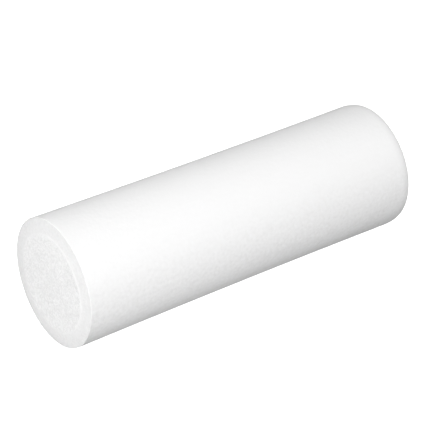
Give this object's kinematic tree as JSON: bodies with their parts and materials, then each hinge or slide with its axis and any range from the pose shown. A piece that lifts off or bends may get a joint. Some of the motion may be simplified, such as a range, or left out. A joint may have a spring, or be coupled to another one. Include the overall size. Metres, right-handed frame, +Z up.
{
  "type": "foam roller",
  "caption": "Plain white solid foam roller: a smooth, slightly waisted round bar with softened edges, and a grainy cut core showing inside a smooth ring at each flat end.",
  "frame": {"origin": "on the floor under the middle of the bar, which lies on its side", "axes": "+X along the bar from one end face to the other, +Y across it, +Z up"},
  "size_m": [0.45, 0.15, 0.15],
  "materials": {
    "core_foam": "cut closed-cell polyethylene foam, grainy",
    "weld_film": "melted and set polyethylene, satin",
    "sleeve_foam": "heat-smoothed polyethylene foam, matte",
    "skin": "dense closed polyethylene skin, satin"
  },
  "bodies": {
    "root": {"foam_core": "core_foam", "weld_film": "weld_film", "foam_sleeve": "sleeve_foam", "outer_skin": "skin"}
  },
  "joints": []
}
